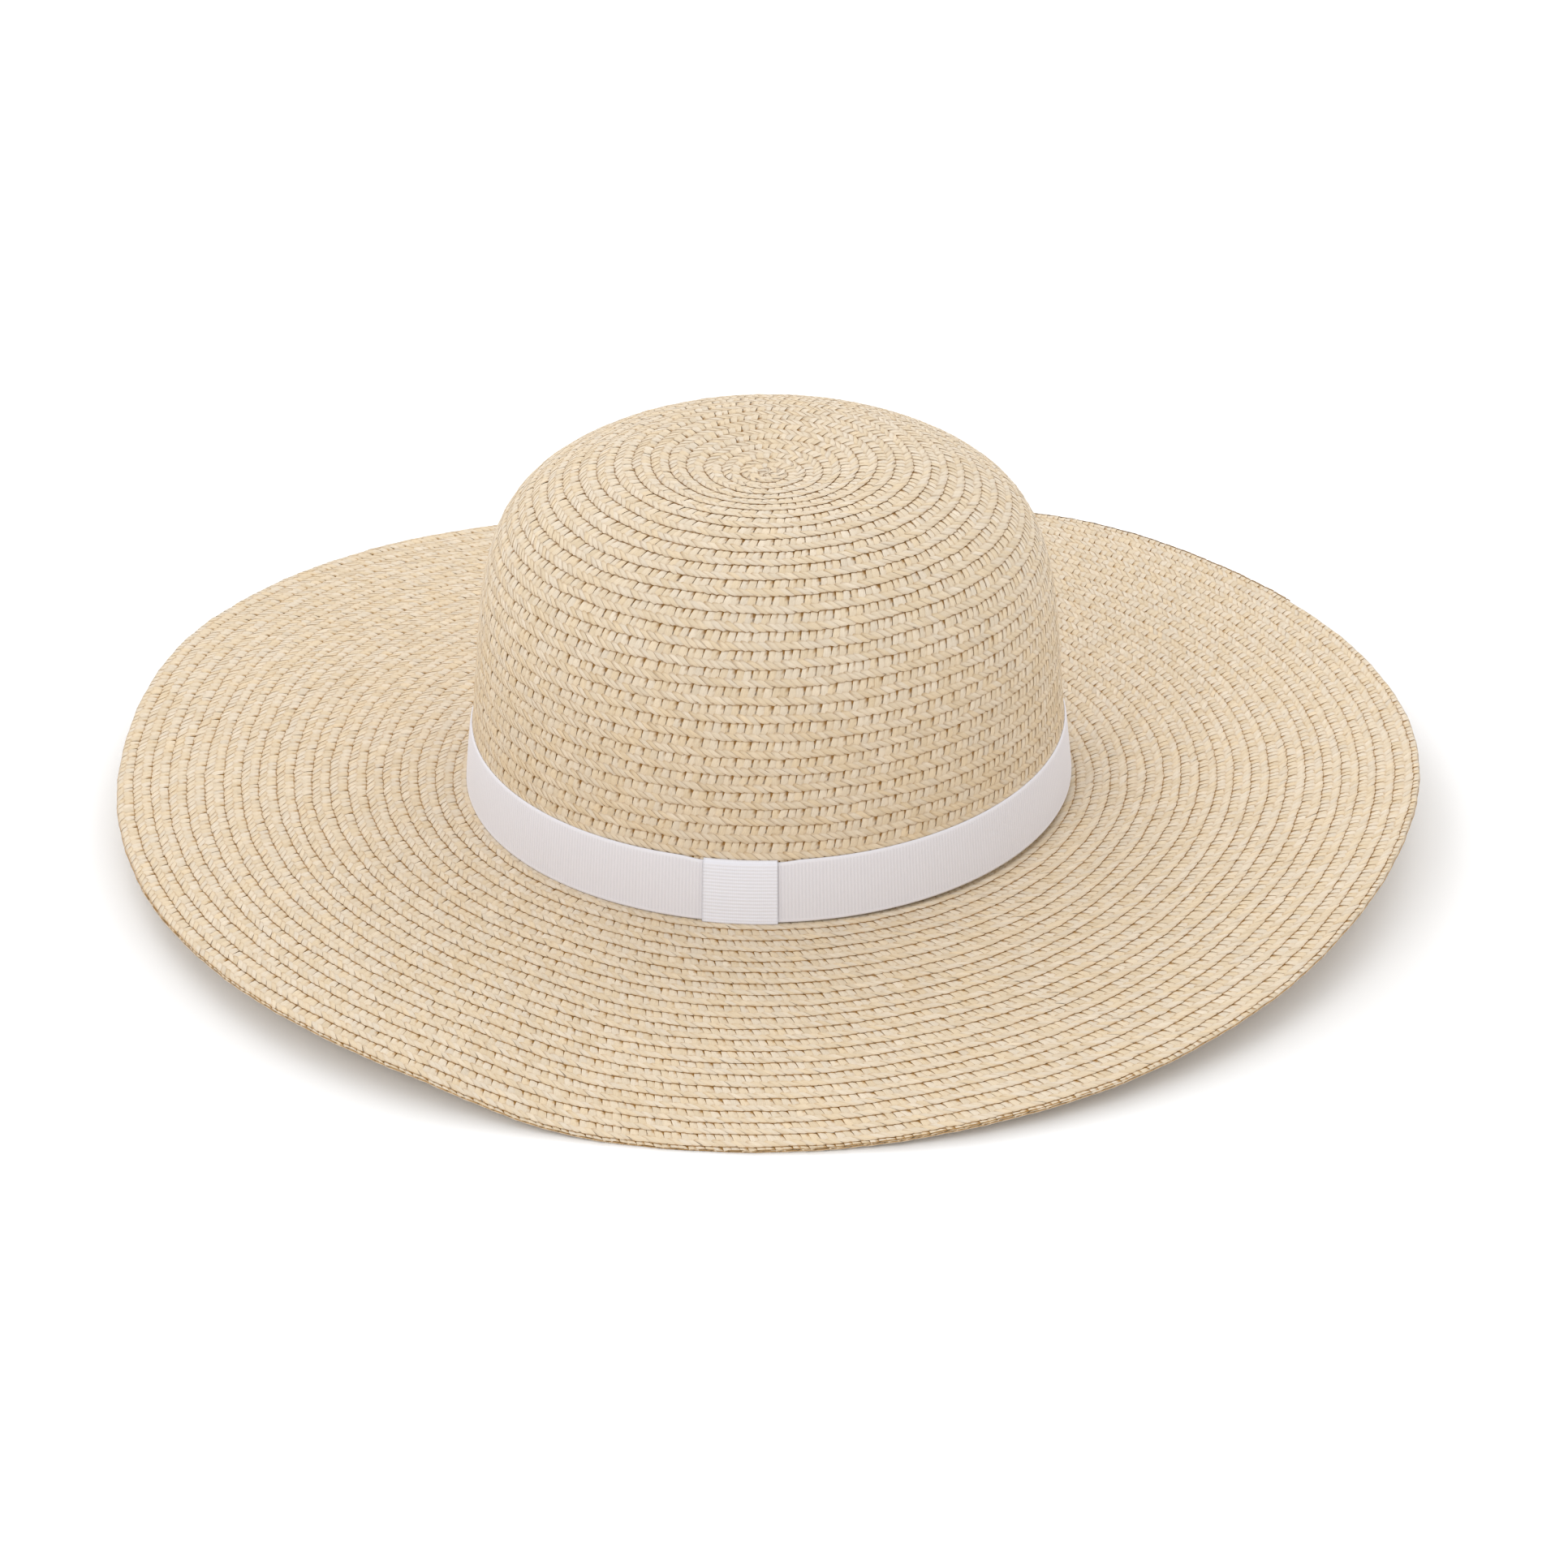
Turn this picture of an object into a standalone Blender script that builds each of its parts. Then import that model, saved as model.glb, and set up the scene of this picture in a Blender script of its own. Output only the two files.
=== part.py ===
"""A wide-brimmed sun hat of sewn straw braid, with a ribbon round the crown.

One flat braid is sewn in a spiral from the tip of the crown outwards. Each row laps over the
next one down, so the straw is stepped like shingles. The crown is a dome with a slightly sunk
tip, the brim dips at the front and back and rises at the sides, and the hat stands on those
two dips. The ribbon's ends meet under a keeper, a short ribbon loop that goes round it.
Metres, +Z up, front at -Y. The origin is on the floor, under the middle of the hat's box.
"""

import math

import bpy

# The braid: how far one sewn row is from the next, how thick the sewn straw is,
# and how far the outer edge of a row stands over the row that it laps.
ROW_PITCH = 0.0056
STRAW_THICKNESS = 0.0018
ROW_STEP = 0.0006
STEP_RUN = 0.0005

# The crown, measured over the straw. Its tip is sunk below the highest ring.
CROWN_WIDTH = 0.190
CROWN_DEPTH = 0.184
CROWN_HEIGHT = 0.110
CROWN_COLUMNS = 40
CROWN_LINING_RINGS = 12

# The brim from the crown to its edge, and how much wider it is in front than at the sides.
BRIM_WIDTH = 0.1122
BRIM_FRONT_EXTRA = 0.0046
BRIM_LIFT = 0.016
BRIM_DIP = 0.0028
BRIM_COLUMNS = 44
BRIM_UNDER_RINGS = 6
HEM_WIDTH = 0.0078
PRESSED_FLAT = 0.0005

# The ribbon and its keeper.
BAND_WIDTH = 0.0205
BAND_THICKNESS = 0.0010
BAND_ABOVE_BRIM = 0.0020
BAND_COLUMNS = 2 * CROWN_COLUMNS
BAND_RINGS = 3
KEEPER_BEARING = -5.0
KEEPER_WIDTH = 0.0225
KEEPER_THICKNESS = 0.0008
BAND_EASE = 4.5

# The clearance between pieces that touch.
GAP = 0.0003

# The crown's outline from the tip to the foot, as shares of its half width and its height.
CROWN_SECTIONS = (
    # (radius share, height share)
    (0.000, 0.961),
    (0.180, 0.975),
    (0.360, 0.998),
    (0.480, 0.996),
    (0.600, 0.969),
    (0.720, 0.922),
    (0.820, 0.860),
    (0.885, 0.780),
    (0.925, 0.680),
    (0.950, 0.560),
    (0.968, 0.400),
    (0.985, 0.230),
    (1.000, 0.090),
    (1.000, 0.000),
)

# The height of the brim's edge round the hat. Bearings are in degrees from the front, to the
# right. A share over 0 is of BRIM_LIFT and a share under 0 of BRIM_DIP.
BRIM_WAVES = (
    # (bearing, height share)
    (4.0, -1.00),
    (16.0, -0.05),
    (30.0, 0.20),
    (45.0, 0.54),
    (60.0, 0.92),
    (75.0, 1.03),
    (90.0, 0.90),
    (120.0, 0.57),
    (148.0, 0.36),
    (167.0, -1.00),
    (197.0, -1.00),
    (225.0, 0.38),
    (240.0, 0.65),
    (255.0, 0.83),
    (272.0, 0.62),
    (295.0, 0.46),
    (316.0, 0.46),
    (331.0, 0.32),
    (345.0, -0.85),
)

# Colours of the finished materials, linear red, green and blue.
STRAW_COLOUR = (0.80, 0.66, 0.48, 1.0)
RIBBON_COLOUR = (0.72, 0.66, 0.66, 1.0)
KEEPER_COLOUR = (0.83, 0.80, 0.81, 1.0)

BRIM_TOP = BRIM_DIP + STRAW_THICKNESS - PRESSED_FLAT


def smooth_value(knots, x):
    """The value at x of a smooth curve through (x, value) knots, by cubic Hermite pieces."""
    passed = sum(1 for knot in knots if knot[0] <= x)
    first = max(0, min(len(knots) - 4, passed - 2))
    (x0, v0), (x1, v1), (x2, v2), (x3, v3) = knots[first : first + 4]
    span = x2 - x1
    t = (x - x1) / span
    slope1 = (v2 - v0) / (x2 - x0) * span
    slope2 = (v3 - v1) / (x3 - x1) * span
    return (
        v1 * (2 * t**3 - 3 * t**2 + 1)
        + slope1 * (t**3 - 2 * t**2 + t)
        + v2 * (3 * t**2 - 2 * t**3)
        + slope2 * (t**3 - t**2)
    )


def edge_height(bearing):
    """How far the brim's edge is above the foot of the crown, at a bearing in degrees."""
    heights = [(b, share * (BRIM_LIFT if share > 0 else BRIM_DIP)) for b, share in BRIM_WAVES]
    before = [(b - 360.0, h) for b, h in heights[-2:]]
    after = [(b + 360.0, h) for b, h in heights[:3]]
    return smooth_value(before + heights + after, bearing % 360.0)


def crown_outline(samples=400):
    """The crown's outline as (radius share, height, length from the tip) from tip to foot."""
    knots = [(-CROWN_SECTIONS[1][0], CROWN_SECTIONS[1][1])] + list(CROWN_SECTIONS)
    last, foot = CROWN_SECTIONS[-2:]
    knots.append((foot[0], 2 * foot[1] - last[1]))
    radii = [(k, radius) for k, (radius, height) in enumerate(knots)]
    heights = [(k, height) for k, (radius, height) in enumerate(knots)]
    first, final = 1, len(knots) - 2
    outline = []
    length = 0.0
    for step in range(samples + 1):
        k = first + (final - first) * step / samples
        radius = smooth_value(radii, k)
        height = smooth_value(heights, k) * CROWN_HEIGHT
        if outline:
            across = (radius - outline[-1][0]) * CROWN_WIDTH / 2
            length += math.hypot(across, height - outline[-1][1])
        outline.append((radius, height, length))
    return outline


OUTLINE = crown_outline()
CROWN_LENGTH = OUTLINE[-1][2]


def outline_at(distance):
    """(radius share, height) of the crown's outline at a distance along it from the tip."""
    distance = max(0.0, min(CROWN_LENGTH, distance))
    for (r0, h0, d0), (r1, h1, d1) in zip(OUTLINE, OUTLINE[1:]):
        if distance <= d1:
            t = (distance - d0) / (d1 - d0)
            return r0 + (r1 - r0) * t, h0 + (h1 - h0) * t
    return OUTLINE[-1][:2]


def crown_point(distance, bearing, lift=0.0):
    """A point on the crown, lifted off its outline by `lift` along the outward normal."""
    reach = ROW_PITCH / 4
    radius, height = outline_at(distance)
    r0, h0 = outline_at(distance - reach)
    r1, h1 = outline_at(distance + reach)
    along = ((r1 - r0) * CROWN_WIDTH / 2, h1 - h0)
    size = math.hypot(*along)
    out = -along[1] / size * lift
    up = along[0] / size * lift
    turn = math.radians(bearing)
    return (
        (radius * CROWN_WIDTH / 2 + out) * math.sin(turn),
        -(radius * CROWN_DEPTH / 2 + out) * math.cos(turn),
        BRIM_TOP + height + up,
    )


def faceted_crown_point(distance, bearing, lift=0.0):
    """The same on the crown's own flat facets, for a piece that lies against them."""
    facet = 360.0 / CROWN_COLUMNS
    start = math.floor(bearing / facet) * facet
    t = (bearing - start) / facet
    a = crown_point(distance, start, lift)
    b = crown_point(distance, start + facet, lift)
    return tuple(p + (q - p) * t for p, q in zip(a, b))


def brim_point(distance, bearing, lift=0.0):
    """A point on the brim's upper side, `distance` out from the crown's outer surface."""
    turn = math.radians(bearing)
    width = BRIM_WIDTH + BRIM_FRONT_EXTRA * math.cos(turn)
    rise = edge_height(bearing)
    slope = math.atan2(rise, width)
    # A distance is given for the plain width, so the wider front takes wider rows.
    along = distance * width / BRIM_WIDTH
    out = along * math.cos(slope) - lift * math.sin(slope)
    up = max(0.0, along) * math.sin(slope) + lift * math.cos(slope)
    return (
        (CROWN_WIDTH / 2 + out) * math.sin(turn),
        -(CROWN_DEPTH / 2 + out) * math.cos(turn),
        max(0.0, BRIM_TOP + up),
    )


def stepped_rows(start, end, rows):
    """(distance, lift) pairs along sewn rows: each row rises to its edge and steps down."""
    pitch = (end - start) / rows
    pairs = []
    for row in range(1, rows + 1):
        edge = start + row * pitch
        pairs.append((edge - STEP_RUN, ROW_STEP))
        if row < rows:
            pairs.append((edge, 0.0))
    return pairs


def ring(point, distance, lift, columns):
    """One ring of points round the hat."""
    return [point(distance, 360.0 * column / columns, lift) for column in range(columns)]


def bridge(faces, first, second, columns):
    """Adds the quads between two rings, given the index of each ring's first point."""
    for column in range(columns):
        beside = (column + 1) % columns
        faces.append((first + column, second + column, second + beside, first + beside))


def material(name, colour, roughness, sheen):
    """A Principled material with one colour."""
    made = bpy.data.materials.new(name)
    made.use_nodes = True
    shader = made.node_tree.nodes["Principled BSDF"]
    shader.inputs["Base Color"].default_value = colour
    shader.inputs["Roughness"].default_value = roughness
    shader.inputs["Metallic"].default_value = 0.0
    shader.inputs["Sheen Weight"].default_value = sheen
    made.diffuse_color = colour
    return made


def add_object(name, points, faces, finish, hat):
    """Makes the mesh and its object in the hat, shaded smooth where the surface is round."""
    mesh = bpy.data.meshes.new(name)
    mesh.from_pydata(points, [], faces)
    mesh.materials.append(finish)
    mesh.shade_smooth()
    mesh.set_sharp_from_angle(angle=math.radians(35.0))
    made = bpy.data.objects.new(name, mesh)
    made.parent = hat
    bpy.context.scene.collection.objects.link(made)
    return made


def make_hat():
    """An empty on the crown's axis, set so that the brim's box is centred on the origin."""
    edge = ring(brim_point, BRIM_WIDTH, 0.0, BRIM_COLUMNS)
    middles = [(min(values) + max(values)) / 2 for values in zip(*edge)]
    hat = bpy.data.objects.new("hat", None)
    hat.location = (-middles[0], -middles[1], 0.0)
    bpy.context.scene.collection.objects.link(hat)
    return hat


def make_crown(finish, hat):
    """The domed crown: stepped rows outside, a smooth wall inside, open below."""
    foot = CROWN_LENGTH - GAP
    rows = round(CROWN_LENGTH / ROW_PITCH)
    outside = stepped_rows(0.0, foot, rows)
    points = [crown_point(0.0, 0.0, ROW_STEP)]
    rings = [ring(crown_point, distance, lift, CROWN_COLUMNS) for distance, lift in outside]
    for number in range(CROWN_LINING_RINGS):
        distance = foot * (1 - number / CROWN_LINING_RINGS)
        rings.append(ring(crown_point, distance, -STRAW_THICKNESS, CROWN_COLUMNS))
    for one in rings:
        points.extend(one)
    points.append(crown_point(0.0, 0.0, -STRAW_THICKNESS))
    faces = []
    for column in range(CROWN_COLUMNS):
        beside = (column + 1) % CROWN_COLUMNS
        faces.append((0, 1 + column, 1 + beside))
    starts = [1 + number * CROWN_COLUMNS for number in range(len(rings))]
    for first, second in zip(starts, starts[1:]):
        bridge(faces, first, second, CROWN_COLUMNS)
    for column in range(CROWN_COLUMNS):
        beside = (column + 1) % CROWN_COLUMNS
        faces.append((starts[-1] + column, len(points) - 1, starts[-1] + beside))
    return add_object("crown", points, faces, finish, hat)


def make_brim(finish, hat):
    """The brim, from under the crown's foot to the hem, a wider last row."""
    inner = -STRAW_THICKNESS
    hem_start = BRIM_WIDTH - HEM_WIDTH
    rows = round(hem_start / ROW_PITCH)
    upper = [(inner, 0.0)] + stepped_rows(0.0, hem_start, rows)
    upper += [(hem_start, 0.0), (BRIM_WIDTH - STEP_RUN, ROW_STEP), (BRIM_WIDTH, 0.0)]
    lower = [(BRIM_WIDTH, -STRAW_THICKNESS), (hem_start, -STRAW_THICKNESS)]
    for number in range(1, BRIM_UNDER_RINGS - 1):
        distance = hem_start + (inner - hem_start) * number / (BRIM_UNDER_RINGS - 2)
        lower.append((distance, -STRAW_THICKNESS))
    points = []
    for distance, lift in upper + lower:
        points.extend(ring(brim_point, distance, lift, BRIM_COLUMNS))
    starts = [number * BRIM_COLUMNS for number in range(len(upper + lower))]
    faces = []
    for first, second in zip(starts, starts[1:] + starts[:1]):
        bridge(faces, first, second, BRIM_COLUMNS)
    return add_object("brim", points, faces, finish, hat)


def half_keeper_angle():
    """Half of the arc that the keeper covers, in degrees."""
    return math.degrees(KEEPER_WIDTH / CROWN_WIDTH)


def keeper_bearings():
    """The keeper's two ends and each corner of the crown's facets between them."""
    start = KEEPER_BEARING - half_keeper_angle()
    end = KEEPER_BEARING + half_keeper_angle()
    facet = 360.0 / CROWN_COLUMNS
    corners = range(math.floor(start / facet) + 1, math.ceil(end / facet))
    return [start] + [corner * facet for corner in corners] + [end]


def band_lift(bearing):
    """How far the ribbon's inner side is off the crown: more where the keeper passes under."""
    flat = ROW_STEP + GAP
    over_keeper = flat + KEEPER_THICKNESS + GAP
    off_centre = abs((bearing - KEEPER_BEARING + 180.0) % 360.0 - 180.0)
    eased = (off_centre - half_keeper_angle() - BAND_EASE) / BAND_EASE
    share = 1.0 - max(0.0, min(1.0, eased))
    return flat + (over_keeper - flat) * share


def band_distances():
    """The ribbon's upper and lower edge, as distances along the crown from the tip."""
    lower = CROWN_LENGTH - BAND_ABOVE_BRIM
    return lower - BAND_WIDTH, lower


def make_band(finish, hat):
    """The ribbon, a closed band round the foot of the crown."""
    top, bottom = band_distances()
    points = []
    for side in (1, 0):
        for number in range(BAND_RINGS):
            t = number / (BAND_RINGS - 1)
            distance = top + (bottom - top) * (t if side else 1 - t)
            for column in range(BAND_COLUMNS):
                bearing = 360.0 * column / BAND_COLUMNS
                lift = band_lift(bearing) + side * BAND_THICKNESS
                points.append(faceted_crown_point(distance, bearing, lift))
    starts = [number * BAND_COLUMNS for number in range(2 * BAND_RINGS)]
    faces = []
    for first, second in zip(starts, starts[1:] + starts[:1]):
        bridge(faces, first, second, BAND_COLUMNS)
    return add_object("hat_band", points, faces, finish, hat)


def make_keeper(finish, hat):
    """The keeper, a flat loop of ribbon that goes round the band and behind it."""
    top, bottom = band_distances()
    back = ROW_STEP + GAP
    front = band_lift(KEEPER_BEARING) + BAND_THICKNESS + GAP
    inner_loop = (
        (top - GAP, back + KEEPER_THICKNESS),
        (top - GAP, front),
        ((top + bottom) / 2, front),
        (bottom + GAP, front),
        (bottom + GAP, back + KEEPER_THICKNESS),
        ((top + bottom) / 2, back + KEEPER_THICKNESS),
    )
    over = GAP + KEEPER_THICKNESS
    outer_loop = (
        (top - over, back),
        (top - over, front + KEEPER_THICKNESS),
        ((top + bottom) / 2, front + KEEPER_THICKNESS),
        (bottom + over, front + KEEPER_THICKNESS),
        (bottom + over, back),
        ((top + bottom) / 2, back),
    )
    corners = len(inner_loop)
    bearings = keeper_bearings()
    points = []
    for bearing in bearings:
        for distance, lift in outer_loop + inner_loop:
            points.append(faceted_crown_point(distance, bearing, lift))
    faces = []
    for column in range(len(bearings) - 1):
        here = column * 2 * corners
        after = here + 2 * corners
        for corner in range(corners):
            beside = (corner + 1) % corners
            faces.append((here + corner, here + beside, after + beside, after + corner))
            inner_here = here + corners
            inner_after = after + corners
            faces.append(
                (
                    inner_here + beside,
                    inner_here + corner,
                    inner_after + corner,
                    inner_after + beside,
                )
            )
    for here, turned in ((0, False), ((len(bearings) - 1) * 2 * corners, True)):
        for corner in range(corners):
            beside = (corner + 1) % corners
            quad = (here + corner, here + corners + corner, here + corners + beside, here + beside)
            faces.append(quad[::-1] if turned else quad)
    return add_object("band_keeper", points, faces, finish, hat)


for old in list(bpy.data.objects):
    bpy.data.objects.remove(old)

straw = material("natural_straw", STRAW_COLOUR, 0.62, 0.15)
ribbon = material("grosgrain_ribbon", RIBBON_COLOUR, 0.75, 0.30)
keeper_ribbon = material("keeper_ribbon", KEEPER_COLOUR, 0.70, 0.30)

hat = make_hat()
make_crown(straw, hat)
make_brim(straw, hat)
make_band(ribbon, hat)
make_keeper(keeper_ribbon, hat)
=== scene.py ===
import math

import bpy
import numpy as np
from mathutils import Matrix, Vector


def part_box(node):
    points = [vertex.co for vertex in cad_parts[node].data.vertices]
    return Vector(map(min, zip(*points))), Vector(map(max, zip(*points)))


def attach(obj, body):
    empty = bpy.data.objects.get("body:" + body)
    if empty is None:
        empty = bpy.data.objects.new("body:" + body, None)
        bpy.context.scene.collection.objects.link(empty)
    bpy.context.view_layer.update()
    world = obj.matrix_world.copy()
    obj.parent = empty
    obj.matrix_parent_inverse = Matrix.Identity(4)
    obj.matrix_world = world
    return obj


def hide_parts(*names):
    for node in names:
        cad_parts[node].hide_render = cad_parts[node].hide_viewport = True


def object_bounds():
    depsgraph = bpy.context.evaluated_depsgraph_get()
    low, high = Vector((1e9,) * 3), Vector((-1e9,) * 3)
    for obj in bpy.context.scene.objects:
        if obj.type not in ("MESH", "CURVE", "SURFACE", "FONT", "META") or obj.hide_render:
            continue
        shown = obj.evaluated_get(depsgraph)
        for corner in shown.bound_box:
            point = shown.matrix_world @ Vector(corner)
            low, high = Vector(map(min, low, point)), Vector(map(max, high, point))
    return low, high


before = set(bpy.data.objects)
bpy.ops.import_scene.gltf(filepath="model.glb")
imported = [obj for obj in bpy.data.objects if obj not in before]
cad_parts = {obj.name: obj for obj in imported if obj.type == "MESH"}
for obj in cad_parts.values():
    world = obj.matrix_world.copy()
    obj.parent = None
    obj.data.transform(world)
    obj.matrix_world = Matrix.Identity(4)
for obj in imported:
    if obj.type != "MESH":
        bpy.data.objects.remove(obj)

cad_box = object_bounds()

# The crown. One long flat braid of paper straw is sewn in a spiral from the sunk tip outwards,
# each row lapping over the next one down, and the dome is then steamed and pressed on a block.
# Seen close, a row has upright straws next to the lap, slanting ones beyond, and a rounded edge.
ROW_PITCH = 0.0056  # metres, as all lengths whose unit isn't given
CROWN_WIDTH = 0.190
CROWN_DEPTH = 0.184
CROWN_HEIGHT = 0.110
BRIM_TOP = 0.0041  # the height of the crown's foot, where the brim leaves it
CROWN_FRONT_ROW = 0.25  # the share of a row that lies before the first lap line in front

CROWN_SECTIONS = (
    # (radius share, height share)
    (0.000, 0.961),
    (0.180, 0.975),
    (0.360, 0.998),
    (0.480, 0.996),
    (0.600, 0.969),
    (0.720, 0.922),
    (0.820, 0.860),
    (0.885, 0.780),
    (0.925, 0.680),
    (0.950, 0.560),
    (0.968, 0.400),
    (0.985, 0.230),
    (1.000, 0.090),
    (1.000, 0.000),
)

# Colours of the straw: its pale face, its warmer body, and the brown painted as shade in the gaps
# between straws. The gaps of the brim are paler, as painted light from the light floor that shows through
# them.
STRAW_PALE = "#DFD1BC"
STRAW_WARM = "#DAC29B"
CROWN_GAP_SHADE = "#966D36"
BRIM_GAP_SHADE = "#A97E42"

low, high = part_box("crown")
AXIS = ((low[0] + high[0]) / 2, (low[1] + high[1]) / 2)


def linear(hex_colour):
    """An sRGB hex colour as linear red, green and blue."""
    parts = [int(hex_colour[i : i + 2], 16) / 255 for i in (1, 3, 5)]
    return np.array([c / 12.92 if c <= 0.04045 else ((c + 0.055) / 1.055) ** 2.4 for c in parts])


def smooth_curve(knots, at):
    """The values at `at` of a smooth curve through (x, value) knots."""
    x, y = np.array(knots, float).T
    i = np.clip(np.searchsorted(x, at, side="right") - 1, 1, len(x) - 3)
    span = x[i + 1] - x[i]
    t = (at - x[i]) / span
    slope_in = (y[i + 1] - y[i - 1]) / (x[i + 1] - x[i - 1]) * span
    slope_out = (y[i + 2] - y[i]) / (x[i + 2] - x[i]) * span
    return (
        y[i] * (2 * t**3 - 3 * t**2 + 1)
        + slope_in * (t**3 - 2 * t**2 + t)
        + y[i + 1] * (3 * t**2 - 2 * t**3)
        + slope_out * (t**3 - t**2)
    )


def crown_outline(samples=1600):
    """The crown's outline from tip to foot: radius, height and length along it."""
    knots = [(-CROWN_SECTIONS[1][0], CROWN_SECTIONS[1][1])] + list(CROWN_SECTIONS)
    knots.append((CROWN_SECTIONS[-1][0], -CROWN_SECTIONS[-2][1]))
    place = np.linspace(1, len(knots) - 2, samples)
    radius = smooth_curve([(k, knot[0]) for k, knot in enumerate(knots)], place) * CROWN_WIDTH / 2
    height = smooth_curve([(k, knot[1]) for k, knot in enumerate(knots)], place) * CROWN_HEIGHT
    steps = np.hypot(np.diff(radius), np.diff(height))
    return radius, height, np.concatenate([[0.0], np.cumsum(steps)])


OUTLINE_RADIUS, OUTLINE_HEIGHT, OUTLINE_LENGTH = crown_outline()
CROWN_LENGTH = OUTLINE_LENGTH[-1]


def crown_reach(distance):
    """How far from the axis the crown is, at a distance along it from the tip."""
    return np.interp(distance, OUTLINE_LENGTH, OUTLINE_RADIUS)


def crown_at(distance, bearing, lift):
    """Points on the crown, lifted off it. Bearings are in degrees from the front, to the right."""
    reach = ROW_PITCH / 4
    radius = crown_reach(distance)
    height = np.interp(distance, OUTLINE_LENGTH, OUTLINE_HEIGHT)
    across = crown_reach(distance + reach) - crown_reach(distance - reach)
    down = np.interp(distance + reach, OUTLINE_LENGTH, OUTLINE_HEIGHT)
    down = down - np.interp(distance - reach, OUTLINE_LENGTH, OUTLINE_HEIGHT)
    size = np.hypot(across, down)
    out = -down / size * lift
    turn = np.radians(bearing)
    x = AXIS[0] + (radius + out) * np.sin(turn)
    y = AXIS[1] - (radius * CROWN_DEPTH / CROWN_WIDTH + out) * np.cos(turn)
    return np.stack([x, y, BRIM_TOP + height + across / size * lift], axis=-1)


SPIRAL_SAMPLES = 40000
TURNED_DOWN = 0.0007  # how far the last row's end is turned down over the edge
UNDERSIDE = -0.0005  # points of the braid below this lift are its back, which isn't turned down
ROW_STRAY = 0.00015
ROW_WANDER = (
    # (waves round the hat, shift from row to row, share)
    (5, 0.9, 1.0),
    (11, -1.7, 0.7),
    (23, 2.3, 0.5),
    (61, 1.1, 0.6),
    (157, -0.7, 0.6),
)


class Braid:
    """A spiral of braid on a surface. A turn is one row round the hat, clockwise from above."""

    def __init__(self, surface, reach, length, front_row, gap_shade_colour):
        self.surface = surface
        self.reach = reach
        self.length = length
        self.front_row = front_row
        # the brown painted as shade in the braid's gaps, under its laps and straws
        self.gap_shade_colour = gap_shade_colour

    def turns_every(self, step, least):
        """Turns at even steps along the braid, with at least `least` of them in each row."""
        turn = np.linspace(-1.0, self.length / ROW_PITCH, SPIRAL_SAMPLES)
        middle = np.clip(ROW_PITCH * (turn + 0.5), 0.0, self.length)
        each_turn = np.maximum(2 * np.pi * self.reach(middle) / step, least)
        steps = (each_turn[1:] + each_turn[:-1]) / 2 * np.diff(turn)
        count = np.concatenate([[0.0], np.cumsum(steps)])
        return np.interp(np.arange(int(count[-1]) + 1), count, turn)

    def points(self, turn, share, aside, lift):
        """Points `share` of the way across the row at `turn`, moved `aside` metres along it."""
        full = ROW_PITCH * (turn + share)
        distance = np.clip(full, 0.0, self.length)
        radius = np.maximum(self.reach(distance), ROW_PITCH / 2)
        moved = turn + aside / (2 * np.pi * radius)
        bearing = 360.0 * (self.front_row - moved)
        # What is left of the last row is turned down over the end.
        turned = np.clip(full - self.length, 0.0, TURNED_DOWN) * (lift > UNDERSIDE)
        return self.surface(self.strayed(distance, bearing), bearing, lift - turned)

    def strayed(self, distance, bearing):
        """The distance with the small wander of rows that are guided by hand under the needle."""
        turn = np.radians(bearing)
        row = distance / ROW_PITCH
        wander = sum(share * np.sin(waves * turn + shift * row) for waves, shift, share in ROW_WANDER)
        return distance + ROW_STRAY * wander * np.clip(row, 0, 1)


def mesh_piece(name, points, quads, tones, strand_map, finish):
    """A smooth mesh of quads with a colour at each point and a map along and across its straws."""
    mesh = bpy.data.meshes.new(name)
    mesh.vertices.add(len(points))
    mesh.vertices.foreach_set("co", np.ascontiguousarray(points, np.float32).ravel())
    mesh.loops.add(quads.size)
    mesh.loops.foreach_set("vertex_index", np.ascontiguousarray(quads, np.int32).ravel())
    mesh.polygons.add(len(quads))
    mesh.polygons.foreach_set("loop_start", np.arange(0, quads.size, 4, dtype=np.int32))
    mesh.update(calc_edges=True)
    colours = np.concatenate([tones, np.ones((len(tones), 1))], axis=1)
    layer = mesh.color_attributes.new("tone", "FLOAT_COLOR", "POINT")
    layer.data.foreach_set("color", colours.astype(np.float32).ravel())
    mesh.uv_layers.new(name="strand")
    corners = strand_map[quads.ravel()].astype(np.float32)
    mesh.uv_layers["strand"].data.foreach_set("uv", corners.ravel())
    mesh.shade_smooth()
    mesh.materials.append(finish)
    piece = bpy.data.objects.new(name, mesh)
    bpy.context.scene.collection.objects.link(piece)
    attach(piece, "root")
    return piece


def grid_quads(across, along, closed=False):
    """Quads of a grid of points, stored with `along` changing fastest."""
    rows = np.arange(across if closed else across - 1)
    columns = np.arange(along - 1)
    first = rows[:, None] * along + columns[None, :]
    above = (rows[:, None] + 1) % across * along + columns[None, :]
    return np.stack([first, above, above + 1, first + 1], axis=-1).reshape(-1, 4)


# One row of the braid in section: how far across the row, its height off the block, and how
# pale it is from 0, the brown of painted shade under the laps and the straws, to 1. The first line lies
# under the row before.
TAPE_SECTION = (
    # (share of the row, lift in millimetres, paleness)
    (-0.10, -0.10, 0.0),
    (0.02, -0.05, 0.0),
    (0.22, 0.10, 0.0),
    (0.40, 0.20, 0.60),
    (0.70, 0.34, 0.70),
    (0.90, 0.40, 0.70),
    (1.00, 0.36, 0.5),
    (1.035, 0.22, 0.05),
    (1.02, 0.00, 0.0),
    (1.00, -0.85, 0.6),
    (0.50, -1.10, 0.9),
    (0.00, -1.30, 0.8),
)
TAPE_STEP = 0.004
LEAST_TAPE_STEPS = 30  # in each of the small rows at the tip
MILLIMETRES = 1000  # in a metre


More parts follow.
